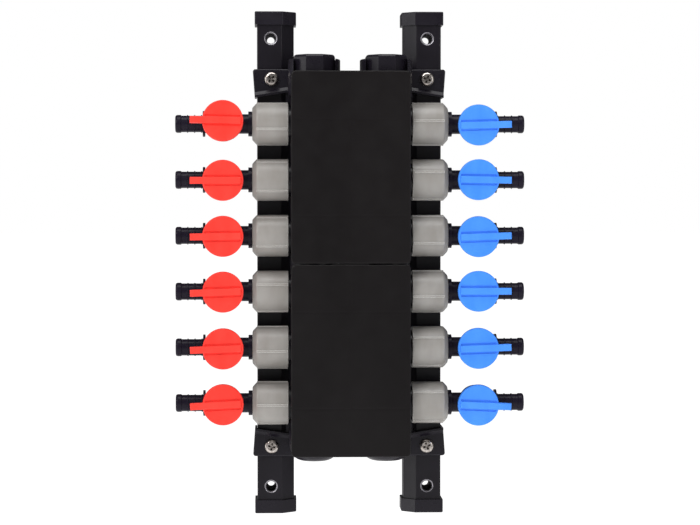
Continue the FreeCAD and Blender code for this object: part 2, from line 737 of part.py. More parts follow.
def valve_bonnet(name, port):
    """The screwed ring that holds the plug in, with the curved wall that stops the handle."""
    tilt = VALVE_TILT[name][port]
    body = make_body(f"{name}_bonnet_{port + 1}", port_place(name, port, "valve_reach", tilt))
    section = make_sketch(body, "XY_Plane")
    seal = "2 * stem_oring_radius + stem_oring_clearance"
    add_outline(section, [
        ("stem_bore_radius", "-bonnet_face"),
        ("bonnet_radius", "-bonnet_face"),
        ("bonnet_radius", "-barrel_mouth"),
        ("bonnet_sleeve_radius", "-barrel_mouth"),
        ("bonnet_sleeve_radius", "-bonnet_sleeve_end"),
        (f"stem_bore_radius + {seal}", "-bonnet_sleeve_end"),
        (f"stem_bore_radius + {seal}", f"-bonnet_sleeve_end - ({seal})"),
        ("stem_bore_radius", f"-bonnet_sleeve_end - ({seal})"),
    ])
    revolve(body, section, "V_Axis")

    wall = make_sketch(body, "XY_Plane")
    middle_angle = size("(closed_stop_angle - open_stop_angle) / 2")
    wall.AttachmentOffset = Placement(Vector(), Rotation(Vector(0, 1, 0), 180 + middle_angle))
    top = "-bonnet_face - stop_height"
    add_rectangle(wall, "stop_inner_radius", "stop_outer_radius", top, "-barrel_mouth")
    lug_angle = "asin(stop_lug_width / 2 / stop_inner_radius) / 1deg"
    travel = "closed_stop_angle + open_stop_angle"
    revolve(body, wall, "V_Axis", sweep=f"360 - ({travel}) - 2 * ({lug_angle}) - 2 * stop_play_angle")
    return body


def stem_oring(name, port):
    ring = DOC.addObject("Part::Torus", f"{name}_stem_oring_{port + 1}")
    ring.setExpression("Radius1", bound("stem_bore_radius + stem_oring_radius"))
    ring.setExpression("Radius2", bound("stem_oring_radius"))
    seat = Vector(0, -size("bonnet_sleeve_end + stem_oring_radius + stem_oring_clearance / 2"), 0)
    local = Placement(seat, Rotation(Vector(1, 0, 0), 90))
    ring.Placement = port_place(name, port, "valve_reach", VALVE_TILT[name][port]) * local
    return ring


def valve_handle(name, port):
    """A shallow cup with a raised bar across it that runs out past the rim as a pointer."""
    tilt, turn = VALVE_TILT[name][port], HANDLE_TURN[name][port]
    body = make_body(f"{name}_handle_{port + 1}", port_place(name, port, "valve_reach", tilt, turn))
    section = make_sketch(body, "XY_Plane")
    inner_face = "handle_wall - handle_face"
    add_outline(section, [
        ("0", "-handle_face"),
        ("handle_radius", "-handle_face"),
        ("handle_radius", "-handle_rim"),
        ("handle_radius - handle_wall", "-handle_rim"),
        ("handle_radius - handle_wall", inner_face),
        ("handle_hub_radius", inner_face),
        ("handle_hub_radius", "-handle_rim - handle_hub_gap"),
        ("0", "-handle_rim - handle_hub_gap"),
    ])
    revolve(body, section, "V_Axis")
    soften(body, "handle_edge_round",
           lambda edge: flat_at(edge, "Y", "-handle_face") and edge.BoundBox.XLength > size("handle_radius"))

    grooves = make_sketch(body, "XZ_Plane", "handle_face - bar_groove_depth")
    reach = "handle_radius - bar_setback"
    outer = "bar_width / 2 + bar_groove_width"
    add_rectangle(grooves, f"-({reach})", reach, f"-({outer})", outer)
    extrude(body, grooves, "bar_groove_depth + 1", cut=True, reverse=True)

    bar = make_sketch(body, "XZ_Plane", "bar_top - pointer_thickness")
    add_rectangle(bar, f"-({reach})", "pointer_reach", "-bar_width / 2", "bar_width / 2")
    extrude(body, bar, "pointer_thickness")
    soften(body, "bar_round", lambda edge: flat_at(edge, "Y", "-bar_top"))

    lug = make_sketch(body, "XZ_Plane", "handle_rim + handle_hub_gap")
    add_rectangle(lug, "handle_hub_radius - 1", "handle_radius - handle_wall + stop_lug_inset",
                  "-stop_lug_width / 2", "stop_lug_width / 2")
    extrude(body, lug, "handle_face - handle_rim - handle_hub_gap - handle_wall / 2")

    socket = make_sketch(body, "XZ_Plane", "handle_rim")
    half = "(stem_square / 2 + stem_clearance)"
    add_rectangle(socket, f"-{half}", half, f"-{half}", half)
    extrude(body, socket, "stem_end - handle_rim + stem_clearance", cut=True, reverse=True)
    return body


# --- Rails, end caps, brackets and screws

def rail_outline(side, grow, back):
    """The rail's section seen from above, grown outwards all round but for its back."""
    inner = f"{side} * (rail_inner_x - ({grow}))"
    outer = f"{side} * (rail_outer_x + {grow})"
    front = f"-(rail_depth + {grow})"
    slope = f"({grow}) / 2"
    return [
        (outer, back),
        (outer, front),
        (f"{side} * (rail_inner_x + rail_bevel_width - {slope})", front),
        (inner, f"-(rail_depth - rail_bevel_depth + {slope})"),
        (inner, back),
    ]


def rail(label, side):
    body = make_body(label)
    section = make_sketch(body, "XY_Plane")
    add_outline(section, rail_outline(side, "0", "0"))
    extrude(body, section, "2 * rail_half_length", middle=True)
    soften(body, "rail_edge_round", lambda edge: along(edge, "Z"))
    hollow = make_sketch(body, "XY_Plane")
    add_outline(hollow, rail_outline(side, "-rail_wall", "-rail_wall"))
    extrude(body, hollow, "2 * rail_half_length", cut=True, middle=True)

    fixing = make_sketch(body, "XZ_Plane")
    driver_holes = make_sketch(body, "XZ_Plane", "rail_depth - rail_wall")
    for level in ("-1", "1"):
        centre = f"{side} * wall_hole_offset", f"{level} * wall_hole_height"
        add_circle(fixing, *centre, "wall_hole_radius")
        add_circle(driver_holes, *centre, "driver_hole_radius")
    extrude(body, fixing, "rail_wall", cut=True, reverse=True)
    extrude(body, driver_holes, "rail_wall", cut=True, reverse=True)
    soften(body, "wall_hole_bevel", lambda edge: flat_at(edge, "Y", "-rail_depth") and
           near(edge.BoundBox.XLength, "2 * driver_hole_radius", 1e-3), kind="Chamfer")

    screw_holes = make_sketch(body, "XZ_Plane", "rail_depth - rail_wall")
    for level in ("-1", "1"):
        add_circle(screw_holes, f"{side} * bracket_screw_offset", f"{level} * bracket_screw_height",
                   "screw_radius + screw_clearance / 2")
    extrude(body, screw_holes, "rail_wall", cut=True, reverse=True)
    return body


def rail_cap(label, side, level):
    """A cap over a rail's end; level is 1 at the top and -1 at the bottom."""
    body = make_body(label)
    low = "rail_half_length + rail_cap_top - rail_cap_height"
    section = make_sketch(body, "XY_Plane", f"{level} * ({low})")
    add_outline(section, rail_outline(side, "rail_cap_overhang", "0"))
    extrude(body, section, "rail_cap_height", reverse=level < 0)
    end = f"{level} * (rail_half_length + rail_cap_top)"
    soften(body, "rail_cap_round", lambda edge: flat_at(edge, "Z", end) or along(edge, "Z"))
    pocket = make_sketch(body, "XY_Plane", f"{level} * ({low})")
    add_outline(pocket, rail_outline(side, "rail_cap_clearance", "1"))
    extrude(body, pocket, "rail_cap_height - rail_cap_top", cut=True, reverse=level > 0)
    return body


def bracket(label, side, level):
    """A plate over the rail that wraps its outer side and ends in a saddle behind the trunk's end.

    It is drawn from the trunk's axis; level is 1 for an upper bracket and -1 for a lower one.
    """
    body = make_body(label, trunk_end_place(side, "0"))

    def across(distance):
        return f"{side} * ({distance} - trunk_offset)"

    def up(height):
        return f"{level} * ({height})"

    back = "bracket_back - port_standoff"
    front = "bracket_front - port_standoff"
    saddle_edge = f"{side} * (sqrt(saddle_inner ^ 2 - ({front}) ^ 2) + bracket_clearance)"
    outer_far = (across("bracket_outer_x"), up("bracket_far_end"))
    outer_near = (across("bracket_outer_x - bracket_draft"), up("bracket_near_end"))
    slanted = "bracket_near_end + bracket_slant"
    tongue_inner = "trunk_offset + trunk_radius + bracket_tongue_gap"
    tongue = [f"{tongue_inner} + bracket_tongue_width", tongue_inner]
    plate = make_sketch(body, "XZ_Plane", back)
    add_outline(plate, [
        outer_far,
        outer_near,
        (across(tongue[0]), up(slanted)),
        (across(tongue[0]), up("bracket_near_end - bracket_tongue_length")),
        (across(tongue[1]), up("bracket_near_end - bracket_tongue_length")),
        (across(tongue[1]), up(slanted)),
        (saddle_edge, up(slanted)),
        (saddle_edge, up("bracket_far_end")),
    ])
    extrude(body, plate, "bracket_plate")

    wrap = make_sketch(body, "XZ_Plane", f"{front} - bracket_wrap_depth")
    inside = across("rail_outer_x + bracket_clearance")
    inner_edge = [(inside, up("bracket_near_end")), (inside, up("bracket_far_end"))]
    add_outline(wrap, [outer_far, outer_near] + inner_edge)
    extrude(body, wrap, "bracket_wrap_depth")

    def is_outer(edge):
        return abs(edge.BoundBox.Center.x) > size("rail_outer_x - trunk_offset")

    def is_far_corner(edge):
        is_outermost = flat_at(edge, "X", across("bracket_outer_x"))
        return along(edge, "Y") and is_outermost and flat_at(edge, "Z", up("bracket_far_end"))

    def is_front_rim(edge):
        height = level * edge.BoundBox.Center.z
        plate_middle = "(bracket_far_end + bracket_near_end) / 2"
        is_side = is_outer(edge) and height > size(f"{plate_middle} - bracket_corner_round")
        is_far_end = flat_at(edge, "Z", up("bracket_far_end"))
        return flat_at(edge, "Y", f"-({front})") and (is_far_end or is_side)

    soften(body, "bracket_corner_round", is_far_corner)

    soften(body, "bracket_round", is_front_rim)

    rib = make_sketch(body, "XZ_Plane", f"{front} - bracket_plate / 2")
    add_outline(rib, [
        outer_near,
        (across(tongue[0]), up(slanted)),
        (across(tongue[1]), up(slanted)),
        (across(tongue[1]), up(f"{slanted} + bracket_rib_width")),
        (across(tongue[0]), up(f"{slanted} + bracket_rib_width")),
        (outer_near[0], up("bracket_near_end + bracket_rib_width")),
    ])
    extrude(body, rib, "bracket_plate / 2 + bracket_rib_rise")

    def is_ledge(edge):
        box = edge.BoundBox
        rib_middle = "bracket_near_end + (bracket_slant + bracket_rib_width) / 2"
        is_far_side = level * box.Center.z > size(rib_middle)
        is_lengthwise = box.XLength > size("bracket_tongue_width / 2")
        return flat_at(edge, "Y", f"-({front}) - bracket_rib_rise") and is_far_side and is_lengthwise

    soften(body, "bracket_rib_slope", is_ledge, kind="Chamfer")

    saddle = make_sketch(body, "XZ_Plane")
    toward_back = 90 - side * size("bracket_saddle_lean")
    saddle.AttachmentOffset = Placement(Vector(), Rotation(Vector(0, 1, 0), toward_back))
    lower_edge = f"{slanted} + bracket_saddle_setback"
    add_rectangle(saddle, "saddle_inner", "saddle_inner + bracket_saddle_thickness",
                  up(lower_edge), up(f"{lower_edge} + bracket_saddle_length"))
    revolve(body, saddle, "V_Axis", sweep="bracket_saddle_sweep")

    hole = make_sketch(body, "XZ_Plane", back)
    centre = across("bracket_screw_offset"), up("bracket_screw_height")
    add_circle(hole, *centre, "screw_radius + screw_clearance")
    extrude(body, hole, "bracket_plate", cut=True, reverse=True)
    return body


def bracket_screw(label, side, level):
    """A pan-head screw with a cross recess, drawn from the underside of its head."""
    height = level * size("bracket_screw_height")
    place = Vector(side * size("bracket_screw_offset"), -size("bracket_front"), height)
    turn = Rotation(Vector(0, 1, 0), SCREW_TURN[side, level])
    body = make_body(label, Placement(place, turn))
    section = make_sketch(body, "XY_Plane")
    add_outline(section, [
        ("0", "-screw_head_height"),
        ("screw_head_radius", "-screw_head_height"),
        ("screw_head_radius", "0"),
        ("screw_radius", "0"),
        ("screw_radius", "screw_length - screw_radius"),
        ("0", "screw_length"),
    ])
    revolve(body, section, "V_Axis")
    soften(body, "screw_head_round", lambda edge: flat_at(edge, "Y", "-screw_head_height"))
    for wide, tall in (("recess_span / 2", "recess_width / 2"), ("recess_width / 2", "recess_span / 2")):
        slot = make_sketch(body, "XZ_Plane", "screw_head_height - recess_depth")
        add_rectangle(slot, f"-{wide}", wide, f"-{tall}", tall)
        extrude(body, slot, "recess_depth + 1", cut=True, reverse=True)
    return body


# --- Covers

def cover(label, level):
    """A shallow tray that clips over the trunks; the lower one is the same moulding, turned round."""
    centre = Vector(0, 0, level * size("(cover_joint_gap + cover_length) / 2"))
    body = make_body(label, Placement(centre, Rotation(Vector(0, 1, 0), 90 - level * 90)))
    half_length = "cover_length / 2"
    outside = make_sketch(body, "XZ_Plane", "cover_back")
    add_rectangle(outside, "-cover_half_width", "cover_half_width", f"-{half_length}", half_length)
    extrude(body, outside, "cover_depth")
    soften(body, "cover_corner_round", lambda edge: along(edge, "Y"))
    soften(body, "cover_edge_round", lambda edge: flat_at(edge, "Y", "-cover_face"))

    inside = make_sketch(body, "XZ_Plane", "cover_back")
    inner_half = f"({half_length} - cover_wall)"
    add_rectangle(inside, "-cover_skirt_x", "cover_skirt_x", f"-{inner_half}", inner_half)
    extrude(body, inside, "cover_depth - cover_wall", cut=True, reverse=True)
    notches = make_sketch(body, "XY_Plane")
    notch = "collar_radius + cover_trunk_clearance"
    for side in SIDES.values():
        add_circle(notches, f"{side} * trunk_offset", "-port_standoff", notch)
    extrude(body, notches, "2 * cover_length", cut=True, middle=True)

    middle = "module_half - (cover_joint_gap + cover_length) / 2"
    beads = make_sketch(body, "XY_Plane", f"{middle} - port_pitch / 2")
    for side in SIDES.values():
        tip = f"{side} * catch_bead_x"
        root = f"{side} * (cover_half_width - cover_wall / 2)"
        add_rectangle(beads, tip, root, "-cover_back - catch_bead_depth", "-cover_back")
    bead = extrude(body, beads, "catch_length", middle=True)
    repeat(body, bead, beads, "N_Axis", "port_pitch", 2)

    tab = make_sketch(body, "XZ_Plane", "cover_face - cover_wall")
    add_rectangle(tab, "cover_tab_offset - cover_tab_width / 2", "cover_tab_offset + cover_tab_width / 2",
                  f"-{half_length} - cover_tab_height", f"cover_wall / 2 - {half_length}")
    add_rectangle(tab, "cover_tongue_gap / 2", "cover_tongue_gap / 2 + cover_tongue_width",
                  f"-{half_length} - cover_tab_height", f"cover_wall / 2 - {half_length}")
    extrude(body, tab, "cover_wall - cover_edge_round")
    return body


# --- The assembly

def build_trunks():
    orings = []
    for name, side in SIDES.items():
        PARTS.append(trunk_module(f"{name}_trunk_upper", side, "module_half"))
        PARTS.append(trunk_module(f"{name}_trunk_lower", side, "-module_half"))
        PARTS.append(inlet_collar(name))
        for joint, height in enumerate(("trunk_end", "0", "-trunk_end"), start=1):
            orings.append(trunk_oring(f"{name}_trunk_oring_{joint}", side, height))
    PARTS.append(group("inlet_plugs", [inlet_plug(name) for name in SIDES]))
    PARTS.append(group("trunk_end_caps", [end_cap(name) for name in SIDES]))
    PARTS.append(group("trunk_orings", orings))


def build_ports():
    ports = [(name, port) for name in SIDES for port in range(len(MODULES) * PORTS_PER_MODULE)]
    for name in SIDES:
        nuts = [union_nut(side_name, port) for side_name, port in ports if side_name == name]
        PARTS.append(group(f"{name}_union_nuts", nuts))
    PARTS.append(group("union_gaskets", [union_gasket(*port) for port in ports]))
    PARTS.append(group("valve_bonnets", [valve_bonnet(*port) for port in ports]))
    PARTS.append(group("stem_orings", [stem_oring(*port) for port in ports]))
    for make in (valve_body, valve_rotor, valve_handle):
        PARTS.extend(make(*port) for port in ports)


def build_mounting():
    caps = []
    screws = []
    for name, side in SIDES.items():
        PARTS.append(rail(f"{name}_side_rail", side))
        for where, level in (("upper", 1), ("lower", -1)):
            PARTS.append(bracket(f"{name}_{where}_bracket", side, level))
            caps.append(rail_cap(f"{name}_{where}_rail_cap", side, level))
            screws.append(bracket_screw(f"{name}_{where}_screw", side, level))
    PARTS.append(group("rail_end_caps", caps))
    PARTS.append(group("bracket_screws", screws))
    PARTS.append(cover("upper_cover", 1))
    PARTS.append(cover("lower_cover", -1))


def verify():
    """Stop if anything failed, if a cut removed nothing or if a sub-part isn't sound."""
    for item in DOC.Objects:
        if {"Invalid", "Error"} & set(item.State):
            raise RuntimeError(f"{item.Label} is in state {item.State}")
        if item.TypeId in ("PartDesign::Pocket", "PartDesign::Groove"):
            if item.Shape.Volume > item.BaseFeature.Shape.Volume - 1e-3:
                raise RuntimeError(f"{item.Label} cuts nothing")
    for item in PARTS:
        if item.Shape.isNull() or not item.Shape.isValid() or not item.Shape.Solids:
            raise RuntimeError(f"{item.Label} is not a sound solid")
        members = getattr(item, "Links", [item])
        if len(item.Shape.Solids) != len(members):
            raise RuntimeError(f"{item.Label} has {len(item.Shape.Solids)} solids")


PARTS = []
SHEET = make_sheet()
build_trunks()
build_ports()
build_mounting()
DOC.recompute()
verify()
os.makedirs("parts", exist_ok=True)
for item in PARTS:
    item.Shape.exportStep(f"parts/{item.Label}.step")
print(len(PARTS), "sub-parts")
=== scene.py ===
"""A wall-mounted shut-off manifold in a white studio, dressed round its CAD model.

Metres, in the CAD model's own frame: +X to the right, +Z up, and the front towards -Y.
"""

import json
import math

import bmesh
import bpy
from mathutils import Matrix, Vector


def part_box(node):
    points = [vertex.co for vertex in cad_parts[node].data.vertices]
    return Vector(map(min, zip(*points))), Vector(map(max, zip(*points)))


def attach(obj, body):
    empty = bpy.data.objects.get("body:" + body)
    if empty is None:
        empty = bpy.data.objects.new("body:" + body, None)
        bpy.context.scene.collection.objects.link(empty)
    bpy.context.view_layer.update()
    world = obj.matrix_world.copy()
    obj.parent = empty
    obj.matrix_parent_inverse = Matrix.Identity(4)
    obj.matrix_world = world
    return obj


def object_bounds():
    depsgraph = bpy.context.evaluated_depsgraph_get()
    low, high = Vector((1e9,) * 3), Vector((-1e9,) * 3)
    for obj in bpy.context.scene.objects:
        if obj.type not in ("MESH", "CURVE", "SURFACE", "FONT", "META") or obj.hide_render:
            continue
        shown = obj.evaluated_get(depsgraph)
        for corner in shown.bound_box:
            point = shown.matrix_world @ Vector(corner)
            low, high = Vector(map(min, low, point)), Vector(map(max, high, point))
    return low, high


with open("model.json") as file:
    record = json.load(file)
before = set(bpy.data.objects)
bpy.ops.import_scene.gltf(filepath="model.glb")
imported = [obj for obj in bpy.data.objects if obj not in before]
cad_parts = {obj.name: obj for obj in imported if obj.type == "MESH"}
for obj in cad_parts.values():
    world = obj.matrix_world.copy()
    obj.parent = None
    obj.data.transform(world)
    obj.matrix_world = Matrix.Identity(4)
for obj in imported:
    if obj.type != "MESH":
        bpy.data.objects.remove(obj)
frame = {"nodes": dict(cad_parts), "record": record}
CAD_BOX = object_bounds()
MM = 0.001

# The long bevel on the front corner of each rail that faces the covers.
RAIL_BEVEL_WIDTH = 8.5 * MM
RAIL_BEVEL_DEPTH = 7.5 * MM

# How deep a rail's coating is taken to reach, under its flat faces and behind its bevel. There the shares
# of the bevel's width and depth that a point lies in by add up to 1 on the bevel's face and to more inside.
RAIL_SKIN = 1.0 * MM
BEVEL_SKIN_SUM = 1.2

# The bevelled hole in a rail's front, in line with each wall-screw hole, and the bare metal over its bevel.
DRIVER_HOLE_RADIUS = 3.5 * MM
HOLE_BEVEL = 0.9 * MM
RIM_FILM = 0.04 * MM
RIM_BURR = 0.012
RING_STEPS = 72

# The covers: sink marks over the ribs inside them, and the joint where their tongues nearly meet.
SINK_WIDTH = 1.2 * MM
SINK_DEPTH = 0.06 * MM
COVER_WALL = 2.0 * MM
TONGUE_HEIGHT = 0.55 * MM

# The rib that stands in the joint behind the tongues, with a crown and tapered ends.
RIB_HALF_WIDTH = 12.0 * MM
RIB_DEPTH = 2.2 * MM
RIB_GAP = 0.03 * MM
RIB_SECTIONS = 24
RIB_ARC_STEPS = 8
RIB_END_POWER = 8
RIB_CROWN_POWER = 0.4

# How far behind the front of a handle's bar the painted highlight starts and ends, and how strong it is.
BAR_HIGHLIGHT_START = 1.2 * MM
BAR_HIGHLIGHT_END = 0.2 * MM
BAR_HIGHLIGHT_SHARE = 0.06

# Moulded plastics by material slot. The skin drifts between deep and pale over a flow mark's length, the
# third colour is that of paled edges, partly rubbed wear and partly painted highlight, and grain is the size
# of the fine texture.
PLASTICS = {
    "black_plastic": {
        "deep": (0.0068, 0.0054, 0.0086), "pale": (0.0092, 0.0076, 0.0116), "wear_and_highlight": (0.03, 0.027, 0.036),
        "roughness": 0.30, "grain": 0.5 * MM, "grain_depth": 0.02 * MM,
    },
    "fitting_plastic": {
        "deep": (0.0084, 0.0067, 0.0110), "pale": (0.0114, 0.0095, 0.0148), "wear_and_highlight": (0.05, 0.045, 0.06),
        "roughness": 0.30, "grain": 0.6 * MM, "grain_depth": 0.02 * MM,
    },
    "valve_plastic": {
        "deep": (0.0100, 0.0078, 0.0150), "pale": (0.0130, 0.0104, 0.0196), "wear_and_highlight": (0.034, 0.029, 0.042),
        "roughness": 0.28, "grain": 0.45 * MM, "grain_depth": 0.008 * MM, "flow": 12 * MM, "gloss": 0.12,
    },
    "plug_plastic": {
        "deep": (0.55, 0.53, 0.47), "pale": (0.64, 0.62, 0.56), "wear_and_highlight": (0.7, 0.68, 0.62),
        "roughness": 0.4, "grain": 0.3 * MM, "grain_depth": 0.01 * MM, "flow": 8 * MM,
    },
    # The grey nuts' strongly paled edges are painted highlights along their grip ridges as well as wear.
    "grey_nut": {
        "deep": (0.25, 0.236, 0.218), "pale": (0.30, 0.287, 0.27), "wear_and_highlight": (0.58, 0.565, 0.54),
        "roughness": 0.36, "grain": 0.7 * MM, "grain_depth": 0.03 * MM, "flow": 11 * MM,
        "edge_paling": 1.0, "gloss": 0.45, "edge": 0.7 * MM,
    },
}
COVER_PLASTIC = {
    "deep": (0.0064, 0.0053, 0.0057), "pale": (0.0084, 0.0071, 0.0075), "wear_and_highlight": (0.05, 0.046, 0.048),
    "roughness": 0.34, "grain": 0.35 * MM, "grain_depth": 0.02 * MM, "flow": 50 * MM,
    "edge_paling": 0.5, "gloss": 0.18,
}
HANDLE_PLASTIC = {
    "roughness": 0.45, "grain": 0.8 * MM, "grain_depth": 0.03 * MM, "flow": 9 * MM, "edge_paling": 0.25,
}
HANDLE_COLOURS = {
    "red_handle": {"deep": (0.86, 0.032, 0.02), "pale": (0.93, 0.042, 0.028), "wear_and_highlight": (1.0, 0.11, 0.08)},
    "blue_handle": {"deep": (0.042, 0.235, 0.85), "pale": (0.055, 0.265, 0.92), "wear_and_highlight": (0.14, 0.40, 1.0)},
}

# The camera stands a little left of the middle and above it, this far in front of the ports' plane.
CAMERA_DISTANCE = 1.5
CAMERA_LEFT = 0.056
CAMERA_UP = 0.039
AIM_UP = 0.0007
VIEW_WIDTH = 0.4785
SENSOR_WIDTH = 36.0

# The white studio: how bright its walls and floor are in reflections, against 1 where the lens sees them.
WHITE = (1.0, 1.0, 1.0, 1.0)
STUDIO_DIMNESS = 0.10
MIRRORED_FLOOR = 0.30
FLOOR_DROP = 0.3
FLOOR_REACH = 40.0

# Softboxes aimed at the manifold's middle: place, width and height, and watts.
SOFTBOXES = {
    "key": ((-1.1, -1.5, 1.2), (0.9, 0.9), 21.5),
    "side": ((-1.7, -0.25, 0.2), (0.9, 1.4), 6.5),
    "fill": ((1.5, -1.5, 0.5), (0.9, 1.2), 7.2),
    "top": ((0.0, -0.35, 1.4), (1.4, 0.8), 14.0),
    "under": ((0.2, -1.2, -1.0), (1.0, 0.6), 1.9),
}


def middle(node):
    """The middle of a CAD node's box."""
    low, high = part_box(node)
    return (Vector(low) + Vector(high)) / 2


# ---------------------------------------------------------------- shader building blocks


def new_material(name):
    """A node material, its tree and its main shader."""
    material = bpy.data.materials.new(name)
    material.use_nodes = True
    return material, material.node_tree, material.node_tree.nodes["Principled BSDF"]


def node(tree, kind, **values):
    """A shader node with the named input sockets set."""
    made = tree.nodes.new(kind)
    for socket, value in values.items():
        made.inputs[socket.replace("_", " ")].default_value = value
    return made


def place(tree):
    """The surface point in metres, in the model's own frame."""
    return tree.nodes.new("ShaderNodeTexCoord").outputs["Object"]


def coordinates(tree):
    """The surface point's X, Y and Z as the outputs of one node."""
    parts = tree.nodes.new("ShaderNodeSeparateXYZ")
    tree.links.new(place(tree), parts.inputs["Vector"])
    return parts.outputs


def noise(tree, size, detail=2.0, stretch=(1.0, 1.0, 1.0)):
    """Noise from 0 to 1 whose features are about size metres across, drawn out along an axis by stretch."""
    scaled = node(tree, "ShaderNodeMapping", Scale=tuple(1 / s for s in stretch))
    tree.links.new(place(tree), scaled.inputs["Vector"])
    made = node(tree, "ShaderNodeTexNoise", Scale=1 / size, Detail=detail)
    tree.links.new(scaled.outputs["Vector"], made.inputs["Vector"])
    return made.outputs["Fac"]


def remap(tree, value, low, high, to_low=0.0, to_high=1.0):
    """A value taken from one range to another, and held at its ends."""
    made = node(tree, "ShaderNodeMapRange", From_Min=low, From_Max=high, To_Min=to_low, To_Max=to_high)
    tree.links.new(value, made.inputs["Value"])
    return made.outputs["Result"]


def arithmetic(tree, operation, first, second=0.0):
    """One arithmetic step on two values, each a socket or a number."""
    made = tree.nodes.new("ShaderNodeMath")
    made.operation = operation
    for socket, value in zip(made.inputs, (first, second)):
        if isinstance(value, (int, float)):
            socket.default_value = value
        else:
            tree.links.new(value, socket)
    return made.outputs["Value"]


def units_past(tree, value, start, unit):
    """How many units a value is past a start."""
    return arithmetic(tree, "DIVIDE", arithmetic(tree, "SUBTRACT", value, start), unit)


def mix_colours(tree, share, first, second):
    """From one colour to another by a share; each colour is a tuple or a socket."""
    made = tree.nodes.new("ShaderNodeMix")
    made.data_type = "RGBA"
    tree.links.new(share, made.inputs["Factor"])
    for name, colour in (("A", first), ("B", second)):
        socket = next(s for s in made.inputs if s.name == name and s.type == "RGBA")
        if isinstance(colour, tuple):
            socket.default_value = (*colour, 1.0)
        else:
            tree.links.new(colour, socket)
    return next(s for s in made.outputs if s.type == "RGBA")


def edge_share(tree, radius):
    """1 along sharp edges and 0 on open faces, by how far a rounded normal turns from the face's own."""
    rounded = node(tree, "ShaderNodeBevel", Radius=radius)
    rounded.samples = 4
    facing = tree.nodes.new("ShaderNodeVectorMath")
    facing.operation = "DOT_PRODUCT"
    tree.links.new(rounded.outputs["Normal"], facing.inputs[0])
    tree.links.new(tree.nodes.new("ShaderNodeNewGeometry").outputs["Normal"], facing.inputs[1])
    return remap(tree, facing.outputs["Value"], low=0.995, high=0.90)


def relief(tree, shader, *layers):
    """Bumps laid one over another; each layer is (height socket, depth in metres, strength)."""
    below = None
    for height, depth, strength in layers:
        bump = node(tree, "ShaderNodeBump", Distance=depth, Strength=strength)
        tree.links.new(height, bump.inputs["Height"])
        if below:
            tree.links.new(below, bump.inputs["Normal"])
        below = bump.outputs["Normal"]
    tree.links.new(below, shader.inputs["Normal"])


def moulded(name, deep, pale, wear_and_highlight, roughness, grain, grain_depth, flow=30 * MM, edge_paling=0.35, gloss=0.3,
            edge=0.35 * MM, bar_highlight=None, extra=None):
    """Moulded plastic: slow flow marks, a fine grain, a skin of uneven gloss and paler edges, from wear and
    painted highlight.

    The highlight function, if given, makes the share from 0 to 1 by which a painted highlight pales a place,
    and extra one more bump layer.
    """
    material, tree, shader = new_material(name)
    shader.inputs["Specular IOR Level"].default_value = gloss
    flow_marks = noise(tree, flow, 3.0, (1.0, 1.0, 2.5))
    skin = mix_colours(tree, remap(tree, flow_marks, 0.35, 0.65), deep, pale)
    # Edges are paled: rubbed wear, and on the grey nuts' ridges a painted highlight as well.
    paled_share = arithmetic(tree, "MULTIPLY", edge_share(tree, edge), edge_paling)
    if bar_highlight:
        paled_share = arithmetic(tree, "MAXIMUM", paled_share, bar_highlight(tree))
    tree.links.new(mix_colours(tree, paled_share, skin, wear_and_highlight), shader.inputs["Base Color"])
    haze = remap(tree, noise(tree, flow / 4, 4.0), 0.3, 0.7, roughness - 0.06, roughness + 0.06)
    tree.links.new(haze, shader.inputs["Roughness"])
    layers = [(noise(tree, grain, 2.0), grain_depth, 0.5), (flow_marks, 0.15 * MM, 0.12)]
    if extra:
        layers.append(extra(tree))
    relief(tree, shader, *layers)
    return material


# ---------------------------------------------------------------- the finishes


def handle_moulding(slot):
    """A handle's plastic, with a painted highlight paling the front of its bar."""
    bar_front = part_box("hot_handle_1")[0][1]

    # Painted highlight: the front of the bar is paled towards the pale edge colour.
    def bar_front_highlight(tree):
        depth = coordinates(tree)["Y"]
        return remap(tree, depth, bar_front + BAR_HIGHLIGHT_START, bar_front + BAR_HIGHLIGHT_END, 0.0, BAR_HIGHLIGHT_SHARE)

    return moulded(slot, **HANDLE_COLOURS[slot], **HANDLE_PLASTIC, bar_highlight=bar_front_highlight)


def sink_line(tree, axis, at):
    """0 in a shallow furrow across a face, where a rib stands behind it, and 1 beside it."""
    away = arithmetic(tree, "ABSOLUTE", arithmetic(tree, "SUBTRACT", coordinates(tree)[axis], at))
    return remap(tree, away, 0.0, SINK_WIDTH)


def cover_moulding(cover):
    """A cover's shell, with the sink lines of the ribs behind its face."""
    low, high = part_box(cover)
    quarter = (high[2] - low[2]) / 4
    centre = middle(cover)

    def ribs_behind(tree):
        upright = sink_line(tree, "X", centre.x)
        upper = sink_line(tree, "Z", centre.z + quarter)
        lower = sink_line(tree, "Z", centre.z - quarter)
        all_lines = arithmetic(tree, "MULTIPLY", upright, arithmetic(tree, "MULTIPLY", upper, lower))
        return all_lines, SINK_DEPTH, 0.5

    return moulded(cover + "_plastic", **COVER_PLASTIC, extra=ribs_behind)


def within_rail(tree):
    """1 on the inside of a rail's tube and in its drilled bores, 0 on the coated outside."""
    low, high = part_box("cold_side_rail")
    spot = coordinates(tree)
    sideways = arithmetic(tree, "ABSOLUTE", spot["X"])
    inside = arithmetic(tree, "GREATER_THAN", sideways, low[0] + RAIL_SKIN)
    for operation, value, limit in (
        ("LESS_THAN", sideways, high[0] - RAIL_SKIN),
        ("GREATER_THAN", spot["Y"], low[1] + RAIL_SKIN),
        ("LESS_THAN", spot["Y"], high[1] - RAIL_SKIN),
    ):
        inside = arithmetic(tree, "MULTIPLY", inside, arithmetic(tree, operation, value, limit))
    along_width = units_past(tree, sideways, low[0], RAIL_BEVEL_WIDTH)
    along_depth = units_past(tree, spot["Y"], low[1], RAIL_BEVEL_DEPTH)
    both = arithmetic(tree, "ADD", along_width, along_depth)
    past_bevel = arithmetic(tree, "GREATER_THAN", both, BEVEL_SKIN_SUM)
    return arithmetic(tree, "MULTIPLY", inside, past_bevel)


